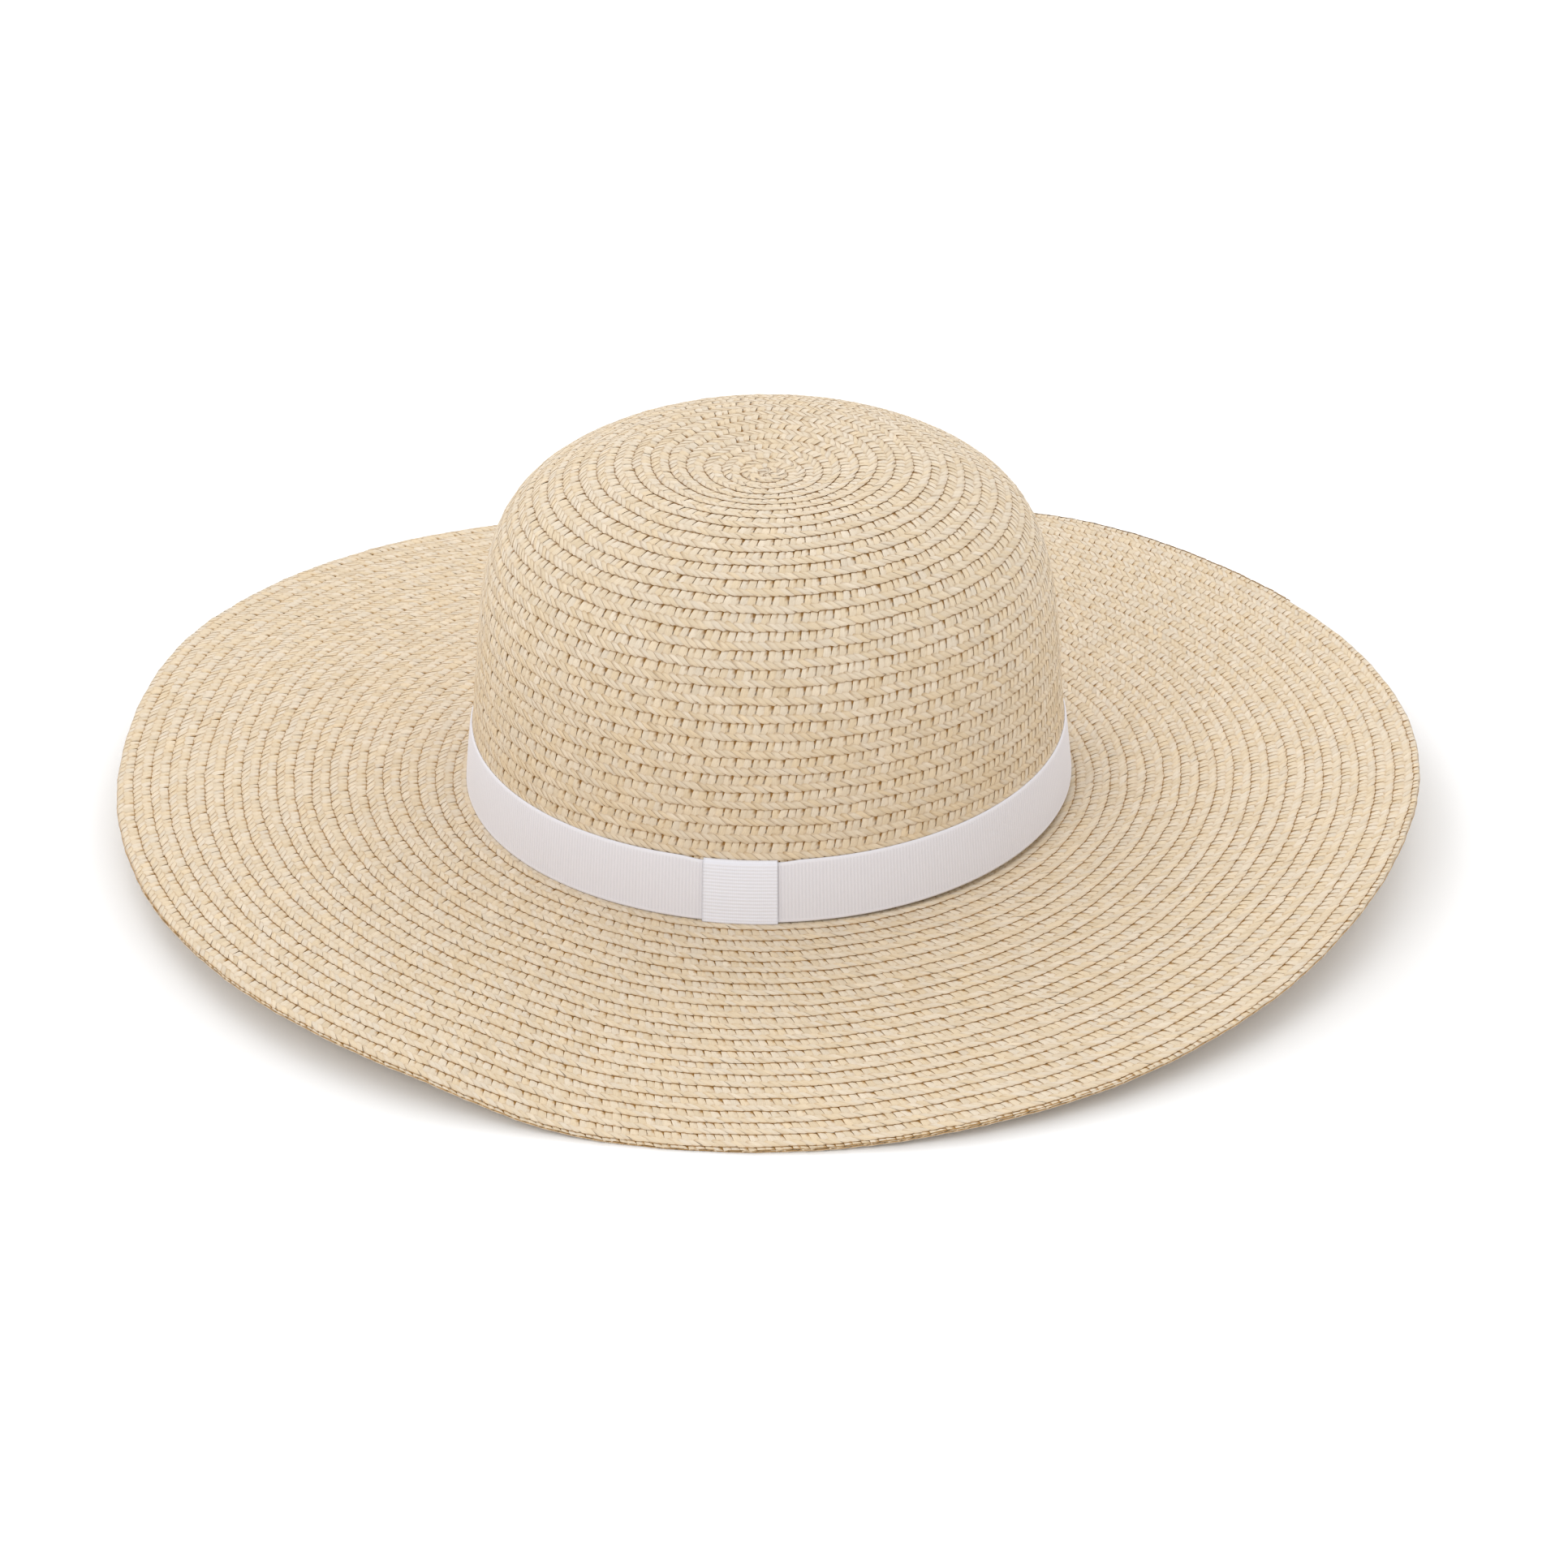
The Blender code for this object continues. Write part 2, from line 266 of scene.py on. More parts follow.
def tape(name, braid, finish):
    """The braid's body: a long closed strip that carries the raised straws."""
    share, lift, paleness = np.array(TAPE_SECTION).T
    turn = braid.turns_every(TAPE_STEP, LEAST_TAPE_STEPS)
    points = braid.points(turn[None, :], share[:, None], 0.0, lift[:, None] / MILLIMETRES)
    pale = linear(STRAW_PALE)
    painted_shade_colour = linear(braid.gap_shade_colour)
    # The body goes from the straw's pale colour down to the painted gap shade, darkest where it lies under
    # the laps and the straws.
    tones = painted_shade_colour + (pale - painted_shade_colour) * paleness[:, None, None]
    tones = np.broadcast_to(tones, points.shape)
    along = np.broadcast_to(np.arange(len(turn)) * TAPE_STEP * MILLIMETRES, points.shape[:2])
    over = np.broadcast_to(share[:, None] * ROW_PITCH * MILLIMETRES, points.shape[:2])
    strand_map = np.stack([along, over], axis=-1).reshape(-1, 2)
    quads = grid_quads(len(share), len(turn), closed=True)
    return mesh_piece(
        name, points.reshape(-1, 3), quads, tones.reshape(-1, 3), strand_map, finish
    )


# The raised straws of a row. Each is a flat straw that comes up from under the lap, shows for a
# few millimetres and dives again. Upright ones lie next to the lap, slanting ones outside them.
UPRIGHT_STRAW = (
    # (share of the row, lift in millimetres, painted shade, painted shade of its lower side, width share)
    (-0.05, 0.02, 1.0, 1.0, 0.88),
    (0.05, 0.20, 0.6, 1.0, 0.88),
    (0.13, 0.36, 0.0, 0.8, 0.92),
    (0.36, 0.47, 0.0, 0.15, 1.0),
    (0.72, 0.36, 0.1, 0.1, 1.02),
)
SLANTING_STRAW = (
    # (share of the row, lift in millimetres, painted shade, painted shade of its lower side, width share)
    (0.52, 0.34, 0.45, 1.0, 0.85),
    (0.66, 0.53, 0.0, 0.35, 1.0),
    (0.86, 0.58, 0.0, 0.1, 1.0),
    (1.06, 0.42, 0.2, 0.1, 0.98),
)
STRAW_SPACING = 0.0024
LEAST_STRAWS = 6  # in each of the small rows at the tip
FIRST_STRAW = 0.3  # rows from the braid's start to the end of the first straw
STRAW_CROWNED = 0.00008  # how much lower a straw's sides are than its middle
STRAW_TILT = 0.000045  # how much one side stands above the middle and the other below it
STRAW_EDGE = 0.00035  # the height of its cut face
# Painted shade on a straw's cut face, and on its lower side, deeper beside the plait's holes.
CUT_SHADE = 0.3
ROUND_TIP = 0.05
HOLE_EVERY = 3  # the plait leaves a hole beside every third straw, drawn as deeper painted shade on its lower side
HOLE_SHADE = 1.4
NO_HOLE_SHADE = 0.35

# How much the straws differ: a range for widths and warmth, and a usual spread for the rest.
STRAW_WIDTHS = (0.90, 1.05)
STRAW_WARMTHS = (0.0, 0.6)
RAISED_SPREAD = 0.00003
LEAN_SPREAD = 3.5  # degrees
LENGTH_SPREAD = 0.018  # of a row
SHADE_SPREAD = 0.03
PAIR_SPREAD = 0.00006

# Each straw takes its fibres from another place of the pattern, some millimetres along it.
FIBRE_SHIFT = 7.0
FIBRE_SCATTER = 1000
FIBRE_PLACES = 37


def straws(name, braid, section, straw_width, pairing, lean, tilt, seed, turns, finish):
    """Raised straws, leaning `lean` degrees clockwise as they go outwards, over some turns.

    Two and two lie closer together, by `pairing` each. With a tilt of 1 their clockwise side is
    the higher one, with -1 the other.
    """
    draw = np.random.default_rng(seed)
    share, lift, straw_shade, low_side_shade, width_share = np.array(section).T
    middle = (share[0] + share[-1]) / 2
    turn = braid.turns_every(STRAW_SPACING, LEAST_STRAWS)
    number = np.arange(len(turn))
    width = straw_width * draw.uniform(*STRAW_WIDTHS, len(turn))
    raised = draw.normal(0.0, RAISED_SPREAD, len(turn))
    leaning = np.radians(lean + draw.normal(0.0, LEAN_SPREAD, len(turn)))
    longer = draw.normal(0.0, LENGTH_SPREAD, len(turn))
    shade = draw.normal(1.0, SHADE_SPREAD, len(turn))
    warmth = draw.uniform(*STRAW_WARMTHS, len(turn))
    hole = number % HOLE_EVERY == 0
    pair = np.where(number % 2 == 0, pairing, -pairing) + draw.normal(0.0, PAIR_SPREAD, len(turn))
    in_place = (turn >= turns[0]) & (turn < turns[1])
    on_braid = (ROW_PITCH * (turn + share[0]) < braid.length) & (turn + share[-1] > FIRST_STRAW)
    used = in_place & on_braid
    turn, width, raised, leaning, longer, shade, warmth, hole, pair = (
        values[used][:, None, None]
        for values in (turn, width, raised, leaning, longer, shade, warmth, hole, pair)
    )
    # Across a straw: its lower side, its middle and its higher side; then that side's cut face,
    # from its top to its foot, with points of its own because it is painted darker, as shade.
    side = tilt * np.array([-1.0, 0.0, 1.0, 1.0, 1.0])[None, None, :]
    cut = np.array([0.0, 0.0, 0.0, 1.0, 1.0])[None, None, :]
    foot = np.array([0.0, 0.0, 0.0, 0.0, 1.0])[None, None, :]
    tip = (np.arange(len(share)) == len(share) - 1)[None, :, None]
    share = share[None, :, None] + (longer - ROUND_TIP * side**2) * tip
    lift = lift[None, :, None] / MILLIMETRES
    across = side * width / 2 * width_share[None, :, None]
    aside = across + np.tan(leaning) * (share - middle) * ROW_PITCH + pair
    height = lift + raised - STRAW_CROWNED * side**2 + STRAW_TILT * tilt * side - STRAW_EDGE * foot
    points = braid.points(turn, share, aside, height)
    pale = linear(STRAW_PALE)
    warm = linear(STRAW_WARM)
    body = (pale + (warm - pale) * warmth[..., None]) * shade[..., None]
    # Painted shade: straws turn brown where they dive under the lap or a neighbour, on their lower side,
    # most by the holes, and on their cut faces.
    painted_shade_colour = linear(braid.gap_shade_colour)
    hole_shade = np.where(hole, HOLE_SHADE, NO_HOLE_SHADE)
    shaded_low_side = low_side_shade[None, :, None] * hole_shade * (side * tilt < 0)
    shade_amount = np.clip(straw_shade[None, :, None] + shaded_low_side + CUT_SHADE * cut, 0, 1)
    tones = body + (painted_shade_colour - body) * shade_amount[..., None]
    along = share * ROW_PITCH * MILLIMETRES + FIBRE_SHIFT * (turn * FIBRE_SCATTER % FIBRE_PLACES)
    along = np.broadcast_to(along, points.shape[:3])
    over = np.broadcast_to(across * MILLIMETRES, points.shape[:3])
    strand_map = np.stack([along, over], axis=-1).reshape(-1, 2)
    # Three strips of quads: two of the face and one of the cut face.
    strips = grid_quads(points.shape[1], points.shape[2]).reshape(points.shape[1] - 1, -1, 4)
    one_straw = strips[:, [0, 1, 3]].reshape(-1, 4)
    each = points.shape[1] * points.shape[2]
    quads = (one_straw[None] + each * np.arange(len(points))[:, None, None]).reshape(-1, 4)
    return mesh_piece(
        name, points.reshape(-1, 3), quads, tones.reshape(-1, 3), strand_map, finish
    )


def all_straws(braid, parts, kinds, finish):
    """The straws of a braid, a piece for each part of it and each kind of straw."""
    return [
        straws(f"{part}_{kind}_straws", braid, section, width, pairing, lean, tilt, seed, turns, finish)
        for part, turns in parts
        for kind, section, width, pairing, lean, tilt, seed in kinds
    ]


def add_node(tree, kind, inputs=(), **settings):
    """Adds a node, sets its settings, and fills its inputs with values or links."""
    made = tree.nodes.new(kind)
    for name, value in settings.items():
        setattr(made, name, value)
    for name, value in dict(inputs).items():
        socket = made.inputs[name]
        if isinstance(value, bpy.types.NodeSocket):
            tree.links.new(value, socket)
        else:
            socket.default_value = value
    return made


def new_material(name):
    """An empty material with no nodes, ready for its nodes and output."""
    made = bpy.data.materials.new(name)
    made.use_nodes = True
    made.node_tree.nodes.clear()
    return made, made.node_tree


# Paper straw is kraft paper twisted to a cord and rolled flat. It gives the eye a dry, faintly
# satin face with fine lengthwise fibres, about 2 mm long and 0.3 mm apart, some darker.
FIBRES_ALONG = 0.5  # in a millimetre
FIBRES_ACROSS = 3.4
# On the back of the braid the straws meet as flat arrowheads with grooves between them.
ARROW_SLOPE = 0.9
GROOVE_WIDTH = 0.5  # millimetres
GROOVE_SHADE = 0.62


def paper_straw(name, plaited):
    """Paper straw, single or plaited into the braid's body."""
    made, tree = new_material(name)
    tone = add_node(tree, "ShaderNodeAttribute", attribute_name="tone")
    strand = add_node(tree, "ShaderNodeUVMap", uv_map="strand")
    stretch = add_node(
        tree, "ShaderNodeMapping",
        {"Vector": strand.outputs["UV"], "Scale": (FIBRES_ALONG, FIBRES_ACROSS, 1.0)},
    )
    fibres = add_node(
        tree, "ShaderNodeTexNoise",
        {"Vector": stretch.outputs["Vector"], "Scale": 1.0, "Detail": 3.0, "Roughness": 0.6},
    )
    fleck = add_node(
        tree, "ShaderNodeMapRange",
        {"Value": fibres.outputs["Fac"], "From Min": 0.3, "From Max": 0.7, "To Min": 0.90, "To Max": 1.06},
    )
    colour = add_node(
        tree, "ShaderNodeVectorMath",
        {0: tone.outputs["Color"], 1: fleck.outputs["Result"]}, operation="MULTIPLY",
    )
    relief = add_node(
        tree, "ShaderNodeBump", {"Height": fibres.outputs["Fac"], "Strength": 0.35, "Distance": 0.00012}
    )
    if plaited:
        # The straws' arrowheads are as far apart as the straws on the braid's face.
        place = add_node(tree, "ShaderNodeSeparateXYZ", {"Vector": strand.outputs["UV"]})
        off_middle = add_node(
            tree, "ShaderNodeMath",
            {0: place.outputs["Y"], 1: ROW_PITCH * MILLIMETRES / 2}, operation="SUBTRACT",
        )
        arrow = add_node(tree, "ShaderNodeMath", {0: off_middle.outputs["Value"]}, operation="ABSOLUTE")
        phase = add_node(
            tree, "ShaderNodeMath",
            {0: arrow.outputs["Value"], 1: ARROW_SLOPE, 2: place.outputs["X"]}, operation="MULTIPLY_ADD",
        )
        step = add_node(
            tree, "ShaderNodeMath",
            {0: phase.outputs["Value"], 1: STRAW_SPACING * MILLIMETRES}, operation="PINGPONG",
        )
        groove = add_node(
            tree, "ShaderNodeMapRange",
            {
                "Value": step.outputs["Value"],
                "From Min": 0.0,
                "From Max": GROOVE_WIDTH,
                "To Min": 0.0,
                "To Max": 1.0,
            },
            interpolation_type="SMOOTHSTEP",
        )
        shade = add_node(
            tree, "ShaderNodeMapRange",
            {"Value": groove.outputs["Result"], "To Min": GROOVE_SHADE, "To Max": 1.0},
        )
        colour = add_node(
            tree, "ShaderNodeVectorMath",
            {0: colour.outputs["Vector"], 1: shade.outputs["Result"]}, operation="MULTIPLY",
        )
        relief = add_node(
            tree, "ShaderNodeBump",
            {
                "Height": groove.outputs["Result"],
                "Strength": 0.8,
                "Distance": 0.0003,
                "Normal": relief.outputs["Normal"],
            },
        )
    shader = add_node(
        tree, "ShaderNodeBsdfPrincipled",
        {
            "Base Color": colour.outputs["Vector"],
            "Roughness": 0.6,
            "IOR": 1.48,
            "Specular IOR Level": 0.25,
            "Normal": relief.outputs["Normal"],
        },
    )
    add_node(tree, "ShaderNodeOutputMaterial", {"Surface": shader.outputs["BSDF"]})
    return made


straw = paper_straw("paper_straw", plaited=False)
braid_back = paper_straw("paper_straw_braid", plaited=True)
crown = Braid(crown_at, crown_reach, CROWN_LENGTH, CROWN_FRONT_ROW, CROWN_GAP_SHADE)
UPPER_ROWS = 18.0
CROWN_PARTS = (
    # (part, its first and last turn)
    ("dome", (-1.0, UPPER_ROWS)),
    ("wall", (UPPER_ROWS, math.inf)),
)
SLANT = -53.0
CROWN_STRAWS = (
    # (kind, section, width, pairing, lean in degrees, tilt, seed)
    ("upright", UPRIGHT_STRAW, 0.00236, 0.00013, 12.0, 1, 3),
    ("slanting", SLANTING_STRAW, 0.00246, 0.00008, SLANT, -1, 5),
)

crown_tape = tape("crown_braid", crown, braid_back)
for piece in [crown_tape] + all_straws(crown, CROWN_PARTS, CROWN_STRAWS, straw):
    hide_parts("crown")


# The brim. The same braid goes on round from the crown's foot, pressed to soft waves that dip in
# front and behind and rise at the sides. At the edge what is left of the last row is turned down.
BRIM_WIDTH = 0.1122
BRIM_FRONT_EXTRA = 0.0046
BRIM_LIFT = 0.016
BRIM_DIP = 0.0028
BRIM_FRONT_ROW = 0.85
INNER_ROWS = 11.0

BRIM_WAVES = (
    # (bearing, height share)
    (4.0, -1.00),
    (16.0, -0.05),
    (30.0, 0.20),
    (45.0, 0.54),
    (60.0, 0.92),
    (75.0, 1.03),
    (90.0, 0.90),
    (120.0, 0.57),
    (148.0, 0.36),
    (167.0, -1.00),
    (197.0, -1.00),
    (225.0, 0.38),
    (240.0, 0.65),
    (255.0, 0.83),
    (272.0, 0.62),
    (295.0, 0.46),
    (316.0, 0.46),
    (331.0, 0.32),
    (345.0, -0.85),
)


def edge_height(bearing):
    """How far the brim's edge is above the crown's foot."""
    heights = [(b, share * (BRIM_LIFT if share > 0 else BRIM_DIP)) for b, share in BRIM_WAVES]
    before = [(b - 360.0, h) for b, h in heights[-2:]]
    after = [(b + 360.0, h) for b, h in heights[:3]]
    return smooth_curve(before + heights + after, bearing % 360.0)


def brim_reach(distance):
    """How far from the axis the brim is, at a distance out from the crown."""
    return CROWN_WIDTH / 2 + distance


def brim_at(distance, bearing, lift):
    """Points on the brim, lifted off it, and never under the surface that the hat rests on."""
    turn = np.radians(bearing)
    width = BRIM_WIDTH + BRIM_FRONT_EXTRA * np.cos(turn)
    slope = np.arctan2(edge_height(bearing), width)
    along = distance * width / BRIM_WIDTH
    out = along * np.cos(slope) - lift * np.sin(slope)
    up = np.maximum(0.0, along) * np.sin(slope) + lift * np.cos(slope)
    x = AXIS[0] + (CROWN_WIDTH / 2 + out) * np.sin(turn)
    y = AXIS[1] - (CROWN_DEPTH / 2 + out) * np.cos(turn)
    return np.stack([x, y, np.maximum(0.0, BRIM_TOP + up)], axis=-1)


brim = Braid(brim_at, brim_reach, BRIM_WIDTH, BRIM_FRONT_ROW, BRIM_GAP_SHADE)
BRIM_PARTS = (
    # (part, its first and last turn)
    ("inner", (-1.0, INNER_ROWS)),
    ("outer", (INNER_ROWS, math.inf)),
)
BRIM_STRAWS = (
    # (kind, section, width, pairing, lean in degrees, tilt, seed)
    ("upright", UPRIGHT_STRAW, 0.00244, 0.00008, -18.0, 1, 7),
    ("slanting", SLANTING_STRAW, 0.00246, 0.00006, SLANT, -1, 9),
)

brim_tape = tape("brim_braid", brim, braid_back)
for piece in [brim_tape] + all_straws(brim, BRIM_PARTS, BRIM_STRAWS, straw):
    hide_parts("brim")


# The hat band. A pale grosgrain ribbon is laid round the foot of the crown and tacked down; its
# weft cords stand as fine upright ribs between two plain woven edges.
BAND_WIDTH = 0.0205
BAND_ABOVE_BRIM = 0.0007
BAND_RISE = 0.0024  # it sits higher on the hat's right
BAND_RISE_BEARING = 80.0
BAND_THICKNESS = 0.0004
BAND_LIFT = 0.00078
BAND_FLARE = 0.0010
BAND_PRESSED = 0.00022  # how far its upper edge is pressed into the straw
BAND_PRESSED_DOWN = 0.003  # how far down from that edge
BAND_DRAWN_IN = 0.0007  # how far its upper edge comes down where it goes under the keeper
BAND_DRAWN_REACH = 5.0  # degrees from the keeper's edge
BAND_RIB = 0.00105
BAND_RIB_DEPTH = 0.00007
POINTS_TO_A_RIB = 4
LINES_OF_RIBS = 5
SELVEDGE = 0.0009
SELVEDGE_LINES = (0.0, 0.5, 1.0, 1.4)  # in selvedges from the ribbon's edge
RIBS_START = 1.2  # so are these two
FIRST_LINE_OF_RIBS = 3
EDGE_THICKNESS = 0.7  # the shares of its thickness, rib depth and painted groove shade that its edges have
SELVEDGE_RIB = 0.15
SELVEDGE_GROOVE_SHADE = 0.2
SELVEDGE_SHADE = 1.01
RIB_GROOVE_SHADE = 0.10  # painted shade: how much darker it is between the ribs
BACK_SHADE = 0.9
RIBBON_COLOUR = "#E4E2E8"
KEEPER_BEARING = -5.0
KEEPER_WIDTH = 0.0225
THREAD_SCALE = 0.55  # a thread every 0.57 mm, coarser than the real ones so that it shows


def ribbon_weave(name, thread_direction):
    """Polyester grosgrain, woven: its thick weft cords give the eye a dull face and soft sheen."""
    made, tree = new_material(name)
    tone = add_node(tree, "ShaderNodeAttribute", attribute_name="tone")
    strand = add_node(tree, "ShaderNodeUVMap", uv_map="strand")
    threads = add_node(
        tree, "ShaderNodeTexWave",
        {"Vector": strand.outputs["UV"], "Scale": THREAD_SCALE, "Distortion": 0.4, "Detail": 2.0},
        wave_type="BANDS", bands_direction=thread_direction,
    )
    relief = add_node(
        tree, "ShaderNodeBump", {"Height": threads.outputs["Fac"], "Strength": 0.25, "Distance": 0.00005}
    )
    shader = add_node(
        tree, "ShaderNodeBsdfPrincipled",
        {
            "Base Color": tone.outputs["Color"],
            "Roughness": 0.72,
            "IOR": 1.5,
            "Specular IOR Level": 0.3,
            "Sheen Weight": 0.25,
            "Sheen Roughness": 0.5,
            "Normal": relief.outputs["Normal"],
        },
    )
    add_node(tree, "ShaderNodeOutputMaterial", {"Surface": shader.outputs["BSDF"]})
    return made


def off_keeper(bearing):
    """Degrees from the middle of the keeper."""
    return (bearing - KEEPER_BEARING + 180.0) % 360.0 - 180.0


def band_points(bearing, down, lift):
    """Points on the band, `down` metres below its upper edge."""
    rise = BAND_RISE * np.clip(np.cos(np.radians(bearing - BAND_RISE_BEARING)), 0, 1) ** 2
    top = CROWN_LENGTH - BAND_ABOVE_BRIM - BAND_WIDTH - rise
    half = math.degrees(KEEPER_WIDTH / CROWN_WIDTH)
    near = np.clip(1 - (np.abs(off_keeper(bearing)) - half) / BAND_DRAWN_REACH, 0, 1)
    eased = near * near * (3 - 2 * near)
    drawn = BAND_DRAWN_IN * eased * (1 - down / BAND_WIDTH)
    flare = BAND_FLARE * np.clip(down / BAND_WIDTH, 0, 1.05) ** 3
    pressed = BAND_PRESSED * np.clip(1 - down / BAND_PRESSED_DOWN, 0, 1) ** 2
    return crown_at(top + down + drawn, bearing, BAND_LIFT + flare - pressed + lift)


def make_band():
    """The ribbon once round the crown, ribbed outside and plain inside."""
    ribs = round(math.pi * (CROWN_WIDTH + CROWN_DEPTH) / 2 / BAND_RIB)
    columns = ribs * POINTS_TO_A_RIB
    bearing = 360.0 * np.arange(columns + 1) / columns
    rib = np.sin(2 * np.pi * ribs * bearing / 360.0)
    edge = SELVEDGE * np.array(SELVEDGE_LINES)
    first = SELVEDGE * FIRST_LINE_OF_RIBS
    ribbed = np.linspace(first, BAND_WIDTH - first, LINES_OF_RIBS)
    down = np.concatenate([edge, ribbed, BAND_WIDTH - edge[::-1]])
    plain = (down < SELVEDGE * RIBS_START) | (down > BAND_WIDTH - SELVEDGE * RIBS_START)
    thickness = np.where((down == 0) | (down == down[-1]), EDGE_THICKNESS, 1.0)
    rib_depth = BAND_RIB_DEPTH * np.where(plain, SELVEDGE_RIB, 1.0)
    height = BAND_THICKNESS * thickness[:, None] + rib_depth[:, None] * rib[None, :]
    front = band_points(bearing[None, :], down[:, None], height)
    back = band_points(bearing[None, :], down[::-1][:, None], np.zeros((len(down), 1)))
    points = np.concatenate([front, back])
    pale = linear(RIBBON_COLOUR)
    in_groove = (0.5 - 0.5 * rib)[None, :, None]
    # Painted shade in the grooves between the ribs, less on the plain edges.
    groove = 1 - RIB_GROOVE_SHADE * in_groove * np.where(plain, SELVEDGE_GROOVE_SHADE, 1.0)[:, None, None]
    front_tone = pale * groove * np.where(plain, SELVEDGE_SHADE, 1.0)[:, None, None]
    tones = np.concatenate([front_tone, np.broadcast_to(pale * BACK_SHADE, front_tone.shape)])
    along = bearing[None, :] * math.pi * CROWN_WIDTH / 360.0 * MILLIMETRES
    over = np.concatenate([down, down[::-1]])[:, None] * MILLIMETRES
    strand_map = np.stack(np.broadcast_arrays(along, over), axis=-1).reshape(-1, 2)
    quads = grid_quads(points.shape[0], points.shape[1], closed=True)
    return mesh_piece(
        "hat_band_ribbon", points.reshape(-1, 3), quads, tones.reshape(-1, 3), strand_map,
        ribbon_weave("band_grosgrain", "Y"),
    )


band = make_band()
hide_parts("hat_band")


# The keeper. A short whiter ribbon goes round the band and hides where its ends meet; its ribs
# lie level, because it is wound the other way.
KEEPER_THICKNESS = 0.0005
KEEPER_OFF_BAND = 0.0002
KEEPER_PROUD = 0.0007
KEEPER_FOLD = 0.0012  # how far it takes to fold in at its top and bottom
KEEPER_COLUMNS = 25
KEEPER_RIB = 0.00108
KEEPER_RIB_DEPTH = 0.00005
# Painted shade between the keeper's ribs.
KEEPER_RIB_GROOVE_SHADE = 0.05
LINES_TO_A_RIB = 6
KEEPER_COLOUR = "#E8E8F0"


def make_keeper():
    """The part of the keeper that shows, folded in at its top and bottom, with closed ends."""
    half = math.degrees(KEEPER_WIDTH / CROWN_WIDTH)
    bearing = KEEPER_BEARING + np.linspace(-half, half, KEEPER_COLUMNS)
    ribs = round(BAND_WIDTH / KEEPER_RIB)
    down = np.linspace(-KEEPER_PROUD, BAND_WIDTH + KEEPER_PROUD, ribs * LINES_TO_A_RIB + 1)
    rib = np.sin(2 * np.pi * ribs * (down + KEEPER_PROUD) / (BAND_WIDTH + 2 * KEEPER_PROUD))
    under = BAND_THICKNESS + BAND_RIB_DEPTH + KEEPER_OFF_BAND
    from_end = np.minimum(down + KEEPER_PROUD, BAND_WIDTH + KEEPER_PROUD - down)
    fold = np.clip(from_end / KEEPER_FOLD, 0, 1)
    bulge = np.sqrt(1 - (1 - fold) ** 2)
    height = (under + KEEPER_THICKNESS) * bulge + KEEPER_RIB_DEPTH * rib * fold
    inner_height = height - KEEPER_THICKNESS * bulge
    front = band_points(bearing[None, :], down[:, None], height[:, None])
    inner = band_points(bearing[None, :], down[::-1][:, None], inner_height[::-1][:, None])
    points = np.concatenate([front, inner])
    pale = linear(KEEPER_COLOUR)
    # Painted shade in the grooves between the ribs.
    tone = pale * (1 - KEEPER_RIB_GROOVE_SHADE * (0.5 - 0.5 * rib))[:, None, None]
    front_tone = np.broadcast_to(tone, front.shape)
    tones = np.concatenate([front_tone, front_tone[::-1] * BACK_SHADE])
    along = (bearing - KEEPER_BEARING)[None, :] * CROWN_WIDTH * math.pi / 360 * MILLIMETRES
    over = np.concatenate([down, down[::-1]])[:, None] * MILLIMETRES
    strand_map = np.stack(np.broadcast_arrays(along, over), axis=-1).reshape(-1, 2)
    quads = grid_quads(points.shape[0], points.shape[1], closed=True)
    # The cut ends, from the front face to the inner one.
    face = np.arange(len(down) - 1)
    other = points.shape[0] - 1 - face
    end = np.stack([face, face + 1, other - 1, other], axis=-1) * points.shape[1]
    quads = np.concatenate([quads, end, end[:, ::-1] + points.shape[1] - 1])
    return mesh_piece(
        "keeper_loop", points.reshape(-1, 3), quads, tones.reshape(-1, 3), strand_map,
        ribbon_weave("keeper_grosgrain", "X"),
    )


keeper = make_keeper()
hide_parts("band_keeper")


# The studio. A pale paper floor runs on to the horizon under an even white sky, with three broad
# weak lights, one in front on the left and two behind, and the camera at the photograph's height.
CAMERA_ELEVATION = 30.0
CAMERA_DISTANCE = 1.400
CAMERA_LENS = 99.65  # millimetres, on a sensor 36 mm wide
AIM_RIGHT = 0.0049
AIM_BELOW = 0.0050
FLOOR_COLOUR = "#FBFAF9"
FLOOR_REACH = 12.0
FLOOR_BELOW = 0.0002  # so that the floor and the hat's lowest faces don't lie in one plane


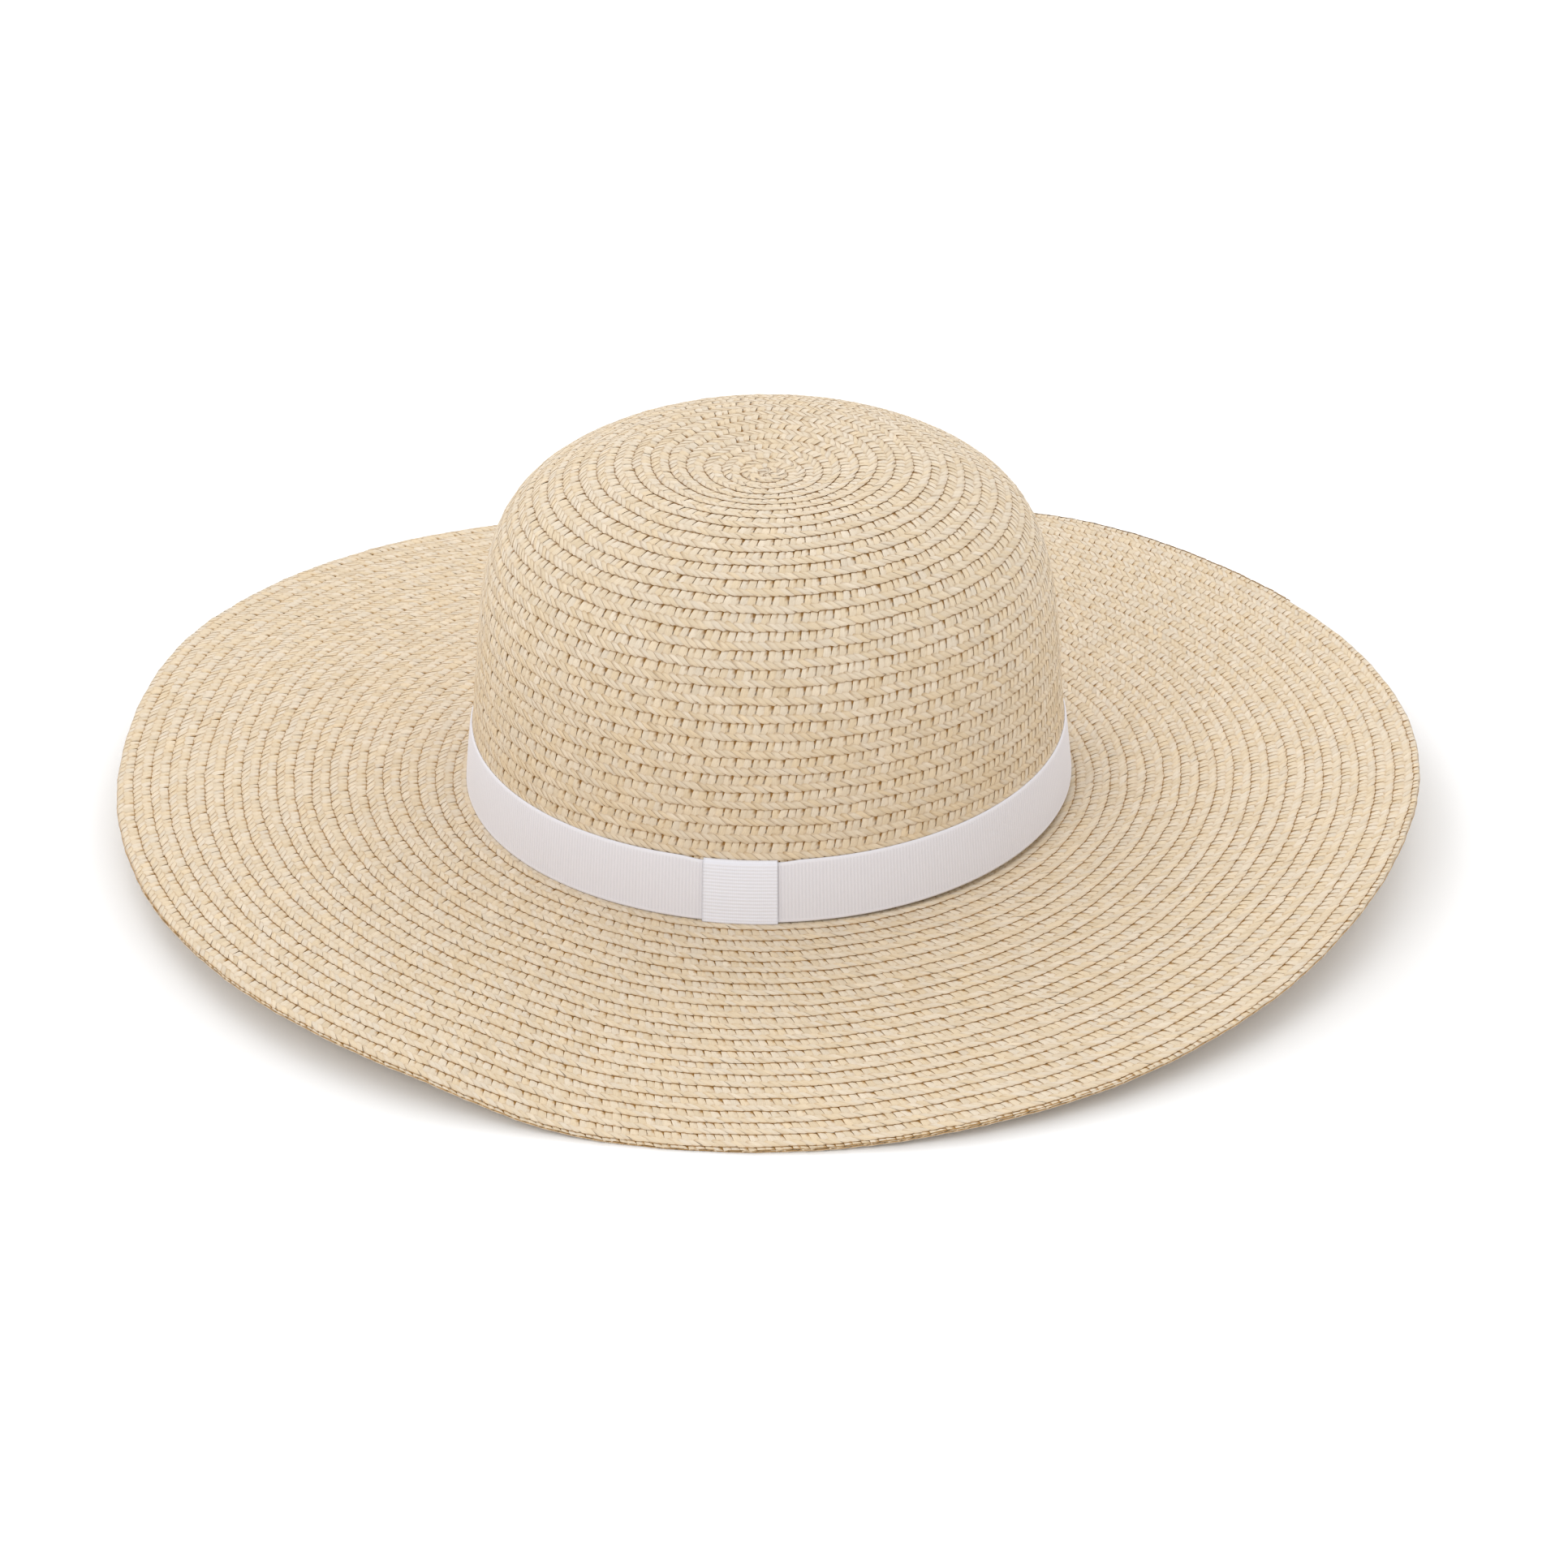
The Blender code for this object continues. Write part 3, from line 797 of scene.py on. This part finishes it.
def make_floor():
    """Matt white studio paper, which gives the eye only a soft shadow."""
    made, tree = new_material("floor_paper")
    shader = add_node(
        tree, "ShaderNodeBsdfPrincipled",
        {"Base Color": (*linear(FLOOR_COLOUR), 1.0), "Roughness": 0.9, "Specular IOR Level": 0.1},
    )
    add_node(tree, "ShaderNodeOutputMaterial", {"Surface": shader.outputs["BSDF"]})
    mesh = bpy.data.meshes.new("floor")
    corners = [(FLOOR_REACH * x, FLOOR_REACH * y, 0) for x, y in ((-1, -1), (1, -1), (1, 1), (-1, 1))]
    mesh.from_pydata(corners, [], [(0, 1, 2, 3)])
    mesh.materials.append(made)
    floor = bpy.data.objects.new("floor", mesh)
    floor.location.z = cad_box[0][2] - FLOOR_BELOW
    bpy.context.scene.collection.objects.link(floor)


LIGHTS = (
    # (name, right, back, up, size across, watts, colour)
    ("front_left", -1.2, -1.4, 1.3, 1.2, 6.8, "#FFFFFF"),
    ("back_left", -0.9, 1.2, 1.3, 1.2, 6.2, "#F7FAFF"),
    ("back_right", 0.9, 1.2, 1.3, 1.2, 5.9, "#F7FAFF"),
)
WORLD_STRENGTH = 1.0


def add_light(name, right, back, up, size, watts, colour):
    """A round soft light that faces the hat."""
    data = bpy.data.lights.new(name, "AREA")
    data.shape = "DISK"
    data.size = size
    data.energy = watts
    data.color = linear(colour)
    light = bpy.data.objects.new(name, data)
    light.location = (right, back, up)
    light.rotation_euler = (-light.location).to_track_quat("-Z", "Y").to_euler()
    bpy.context.scene.collection.objects.link(light)


def add_camera():
    """The camera, in front of the hat and looking down at it."""
    data = bpy.data.cameras.new("camera")
    data.lens = CAMERA_LENS
    data.sensor_width = 36.0
    data.clip_end = 100.0
    camera = bpy.data.objects.new("camera", data)
    rise = math.radians(CAMERA_ELEVATION)
    aim = (AXIS[0] + AIM_RIGHT, AXIS[1], BRIM_TOP - AIM_BELOW)
    camera.location = (
        aim[0],
        aim[1] - CAMERA_DISTANCE * math.cos(rise),
        aim[2] + CAMERA_DISTANCE * math.sin(rise),
    )
    camera.rotation_euler = (math.radians(90.0 - CAMERA_ELEVATION), 0.0, 0.0)
    bpy.context.scene.collection.objects.link(camera)
    bpy.context.scene.camera = camera


make_floor()
add_camera()
for light in LIGHTS:
    add_light(*light)
world = bpy.data.worlds.new("studio")
world.use_nodes = True
world.node_tree.nodes["Background"].inputs["Color"].default_value = (1.0, 1.0, 1.0, 1.0)
world.node_tree.nodes["Background"].inputs["Strength"].default_value = WORLD_STRENGTH
bpy.context.scene.world = world
bpy.context.scene.view_settings.view_transform = "Standard"
